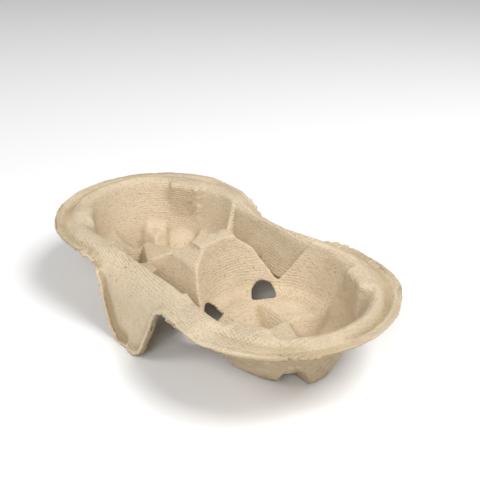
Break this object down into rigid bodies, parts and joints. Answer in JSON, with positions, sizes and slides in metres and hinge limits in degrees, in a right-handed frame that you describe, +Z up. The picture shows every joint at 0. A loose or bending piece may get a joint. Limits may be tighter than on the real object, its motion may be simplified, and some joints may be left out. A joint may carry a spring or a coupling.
{
  "type": "cup carrier",
  "caption": "Moulded pulp carrier for takeaway cups: round wells in a rolled rim, joined by a low divider, with a hanging leg at each long side.",
  "frame": {"origin": "on the table under the middle of the carrier, halfway between the two wells", "axes": "+X along the line through both wells, +Y across the carrier, +Z up"},
  "size_m": [0.2126, 0.1104, 0.043],
  "materials": {
    "pulp": "matt moulded paper pulp"
  },
  "bodies": {
    "root": {"carrier": "pulp"}
  },
  "joints": []
}
